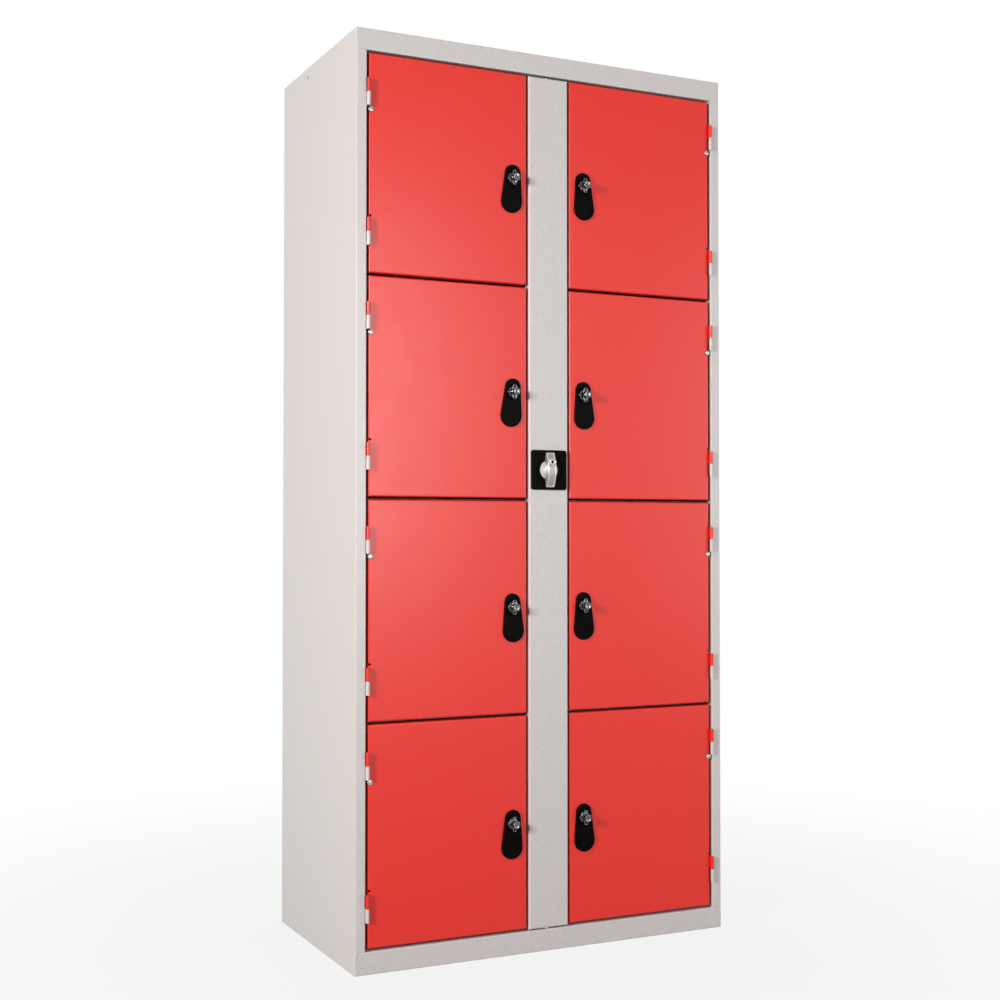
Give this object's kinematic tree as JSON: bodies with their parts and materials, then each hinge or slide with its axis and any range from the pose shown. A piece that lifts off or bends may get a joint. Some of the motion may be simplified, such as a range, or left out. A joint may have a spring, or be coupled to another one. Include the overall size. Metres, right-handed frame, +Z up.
{
  "type": "multi-compartment locker",
  "caption": "Upright sheet-steel locker with columns of lift-off doors, padlock hasps and pull plates, and a lift-out centre post locked by a turn handle that drives rods.",
  "frame": {"origin": "centre of the footprint's bounding box, on the floor", "axes": "+Z up, -Y out of the doors, +X to the right seen from the front"},
  "size_m": [0.824, 0.4692, 1.8],
  "materials": {
    "carcass_grey": "light grey powder coat, fine orange peel",
    "door_red": "red powder coat, fine orange peel",
    "moulding_black": "black moulded plastic",
    "hasp_chrome": "polished plate",
    "zinc_steel": "zinc plated",
    "handle_silver": "satin silver casting",
    "guide_plastic": "natural nylon"
  },
  "bodies": {
    "carcass": {"left_side_panel": "carcass_grey", "right_side_panel": "carcass_grey", "top_panel": "carcass_grey", "base_panel": "carcass_grey", "back_panel": "carcass_grey", "left_partition": "carcass_grey", "right_partition": "carcass_grey", "left_shelves": "carcass_grey", "right_shelves": "carcass_grey", "frame_hinge_leaves": "carcass_grey", "hinge_pins": "zinc_steel"},
    "post": {"centre_post": "carcass_grey", "rod_guides": "guide_plastic", "handle_rosette": "moulding_black", "rosette_nut": "zinc_steel"},
    "handle": {"turn_handle": "handle_silver", "rod_lever": "zinc_steel"},
    "key_plug": {"handle_lock": "hasp_chrome"},
    "upper_rod": {"upper_rod": "zinc_steel"},
    "lower_rod": {"lower_rod": "zinc_steel"},
    "left_door_1": {"left_door_1": "door_red", "left_pull_1": "moulding_black", "left_fixings_1": "hasp_chrome"},
    "left_hasp_1": {"left_knob_1": "hasp_chrome", "left_cam_1": "zinc_steel"},
    "left_door_2": {"left_door_2": "door_red", "left_pull_2": "moulding_black", "left_fixings_2": "hasp_chrome"},
    "left_hasp_2": {"left_knob_2": "hasp_chrome", "left_cam_2": "zinc_steel"},
    "left_door_3": {"left_door_3": "door_red", "left_pull_3": "moulding_black", "left_fixings_3": "hasp_chrome"},
    "left_hasp_3": {"left_knob_3": "hasp_chrome", "left_cam_3": "zinc_steel"},
    "left_door_4": {"left_door_4": "door_red", "left_pull_4": "moulding_black", "left_fixings_4": "hasp_chrome"},
    "left_hasp_4": {"left_knob_4": "hasp_chrome", "left_cam_4": "zinc_steel"},
    "right_door_1": {"right_door_1": "door_red", "right_pull_1": "moulding_black", "right_fixings_1": "hasp_chrome"},
    "right_hasp_1": {"right_knob_1": "hasp_chrome", "right_cam_1": "zinc_steel"},
    "right_door_2": {"right_door_2": "door_red", "right_pull_2": "moulding_black", "right_fixings_2": "hasp_chrome"},
    "right_hasp_2": {"right_knob_2": "hasp_chrome", "right_cam_2": "zinc_steel"},
    "right_door_3": {"right_door_3": "door_red", "right_pull_3": "moulding_black", "right_fixings_3": "hasp_chrome"},
    "right_hasp_3": {"right_knob_3": "hasp_chrome", "right_cam_3": "zinc_steel"},
    "right_door_4": {"right_door_4": "door_red", "right_pull_4": "moulding_black", "right_fixings_4": "hasp_chrome"},
    "right_hasp_4": {"right_knob_4": "hasp_chrome", "right_cam_4": "zinc_steel"}
  },
  "joints": [
    {"name": "post_lift_out", "type": "slide", "parent": "carcass", "child": "post", "axis": [0, -1, 0], "range_m": [0, 0.2]},
    {"name": "handle_turn", "type": "hinge", "parent": "post", "child": "handle", "pos_m": [0, -0.2154, 0.961], "axis": [0, -1, 0], "range_deg": [0, 90]},
    {"name": "key_turn", "type": "hinge", "parent": "handle", "child": "key_plug", "pos_m": [0, -0.23321, 0.9765], "axis": [0, 1, 0], "range_deg": [0, 90]},
    {"name": "upper_rod_slide", "type": "slide", "parent": "post", "child": "upper_rod", "axis": [0, 0, 1], "range_m": [0, 0.0128]},
    {"name": "lower_rod_slide", "type": "slide", "parent": "post", "child": "lower_rod", "axis": [0, 0, -1], "range_m": [0, 0.01273]},
    {"name": "left_door_1_swing", "type": "hinge", "parent": "carcass", "child": "left_door_1", "pos_m": [-0.38825, -0.2192, 1.54325], "axis": [0, 0, -1], "range_deg": [0, 170]},
    {"name": "left_hasp_1_turn", "type": "hinge", "parent": "left_door_1", "child": "left_hasp_1", "pos_m": [-0.0805, -0.2166, 1.54325], "axis": [0, -1, 0], "range_deg": [0, 90]},
    {"name": "left_door_2_swing", "type": "hinge", "parent": "carcass", "child": "left_door_2", "pos_m": [-0.38825, -0.2192, 1.11525], "axis": [0, 0, -1], "range_deg": [0, 170]},
    {"name": "left_hasp_2_turn", "type": "hinge", "parent": "left_door_2", "child": "left_hasp_2", "pos_m": [-0.0805, -0.2166, 1.11525], "axis": [0, -1, 0], "range_deg": [0, 90]},
    {"name": "left_door_3_swing", "type": "hinge", "parent": "carcass", "child": "left_door_3", "pos_m": [-0.38825, -0.2192, 0.68725], "axis": [0, 0, -1], "range_deg": [0, 170]},
    {"name": "left_hasp_3_turn", "type": "hinge", "parent": "left_door_3", "child": "left_hasp_3", "pos_m": [-0.0805, -0.2166, 0.68725], "axis": [0, -1, 0], "range_deg": [0, 90]},
    {"name": "left_door_4_swing", "type": "hinge", "parent": "carcass", "child": "left_door_4", "pos_m": [-0.38825, -0.2192, 0.25925], "axis": [0, 0, -1], "range_deg": [0, 170]},
    {"name": "left_hasp_4_turn", "type": "hinge", "parent": "left_door_4", "child": "left_hasp_4", "pos_m": [-0.0805, -0.2166, 0.25925], "axis": [0, -1, 0], "range_deg": [0, 90]},
    {"name": "right_door_1_swing", "type": "hinge", "parent": "carcass", "child": "right_door_1", "pos_m": [0.38825, -0.2192, 1.54325], "axis": [0, 0, 1], "range_deg": [0, 170]},
    {"name": "right_hasp_1_turn", "type": "hinge", "parent": "right_door_1", "child": "right_hasp_1", "pos_m": [0.0805, -0.2166, 1.54325], "axis": [0, 1, 0], "range_deg": [0, 90]},
    {"name": "right_door_2_swing", "type": "hinge", "parent": "carcass", "child": "right_door_2", "pos_m": [0.38825, -0.2192, 1.11525], "axis": [0, 0, 1], "range_deg": [0, 170]},
    {"name": "right_hasp_2_turn", "type": "hinge", "parent": "right_door_2", "child": "right_hasp_2", "pos_m": [0.0805, -0.2166, 1.11525], "axis": [0, 1, 0], "range_deg": [0, 90]},
    {"name": "right_door_3_swing", "type": "hinge", "parent": "carcass", "child": "right_door_3", "pos_m": [0.38825, -0.2192, 0.68725], "axis": [0, 0, 1], "range_deg": [0, 170]},
    {"name": "right_hasp_3_turn", "type": "hinge", "parent": "right_door_3", "child": "right_hasp_3", "pos_m": [0.0805, -0.2166, 0.68725], "axis": [0, 1, 0], "range_deg": [0, 90]},
    {"name": "right_door_4_swing", "type": "hinge", "parent": "carcass", "child": "right_door_4", "pos_m": [0.38825, -0.2192, 0.25925], "axis": [0, 0, 1], "range_deg": [0, 170]},
    {"name": "right_hasp_4_turn", "type": "hinge", "parent": "right_door_4", "child": "right_hasp_4", "pos_m": [0.0805, -0.2166, 0.25925], "axis": [0, 1, 0], "range_deg": [0, 90]}
  ],
  "couplings": [
    {"joint": "handle_turn", "follows": "lower_rod_slide", "rad_per_m": 123.41},
    {"joint": "upper_rod_slide", "follows": "lower_rod_slide", "ratio": 1}
  ]
}
